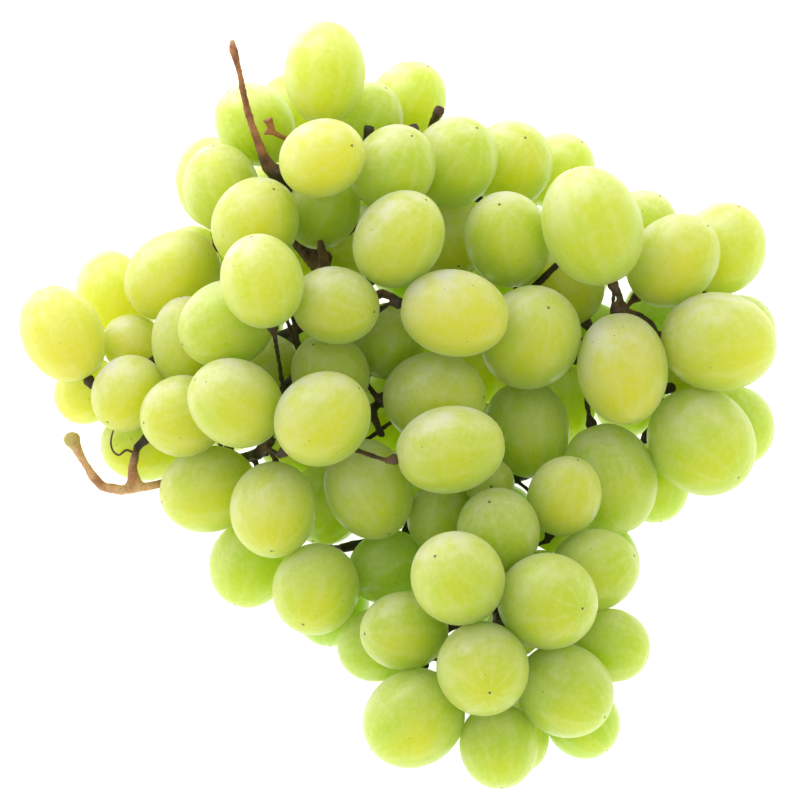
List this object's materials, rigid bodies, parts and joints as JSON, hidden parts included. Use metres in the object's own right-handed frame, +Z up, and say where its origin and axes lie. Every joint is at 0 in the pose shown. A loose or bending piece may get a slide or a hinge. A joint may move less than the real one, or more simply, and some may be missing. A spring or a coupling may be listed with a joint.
{
  "type": "bunch of grapes",
  "caption": "Bunch of oval white table grapes on a woody branching stem, tapering to a tip, lying on its back.",
  "frame": {"origin": "under the middle of the bunch's box, on the surface that it lies on", "axes": "+Z up; +Y toward the cut end of the stem; the tip points along -Y"},
  "size_m": [0.172, 0.1714, 0.0718],
  "materials": {
    "berry_skin": "satin, translucent, with a thin whitish bloom",
    "stem": "dull, finely ridged"
  },
  "bodies": {
    "root": {"stem": "stem", "shoulder_berry_1": "berry_skin", "shoulder_berry_2": "berry_skin", "shoulder_berry_3": "berry_skin", "shoulder_berry_4": "berry_skin", "shoulder_berry_5": "berry_skin", "shoulder_berry_6": "berry_skin", "shoulder_berry_7": "berry_skin", "shoulder_berry_8": "berry_skin", "shoulder_berry_9": "berry_skin", "shoulder_berry_10": "berry_skin", "shoulder_berry_11": "berry_skin", "shoulder_berry_12": "berry_skin", "shoulder_berry_13": "berry_skin", "right_berry_1": "berry_skin", "right_berry_2": "berry_skin", "right_berry_3": "berry_skin", "right_berry_4": "berry_skin", "right_berry_5": "berry_skin", "right_berry_6": "berry_skin", "right_berry_7": "berry_skin", "left_berry_1": "berry_skin", "left_berry_2": "berry_skin", "left_berry_3": "berry_skin", "left_berry_4": "berry_skin", "left_berry_5": "berry_skin", "left_berry_6": "berry_skin", "left_berry_7": "berry_skin", "left_berry_8": "berry_skin", "left_berry_9": "berry_skin", "left_berry_10": "berry_skin", "heart_berry_1": "berry_skin", "heart_berry_2": "berry_skin", "heart_berry_3": "berry_skin", "heart_berry_4": "berry_skin", "heart_berry_5": "berry_skin", "heart_berry_6": "berry_skin", "tip_berry_1": "berry_skin", "tip_berry_2": "berry_skin", "tip_berry_3": "berry_skin", "tip_berry_4": "berry_skin", "tip_berry_5": "berry_skin", "tip_berry_6": "berry_skin", "tip_berry_7": "berry_skin", "tip_berry_8": "berry_skin", "tip_berry_9": "berry_skin", "tip_berry_10": "berry_skin", "tip_berry_11": "berry_skin", "shoulder_pair": "berry_skin", "left_end_pair": "berry_skin", "left_low_trio": "berry_skin", "heart_trio": "berry_skin", "right_end_trio": "berry_skin", "right_low_trio": "berry_skin", "shoulder_back": "berry_skin", "left_back": "berry_skin", "middle_back": "berry_skin", "heart_back": "berry_skin", "right_back": "berry_skin", "tip_back": "berry_skin"}
  },
  "joints": []
}
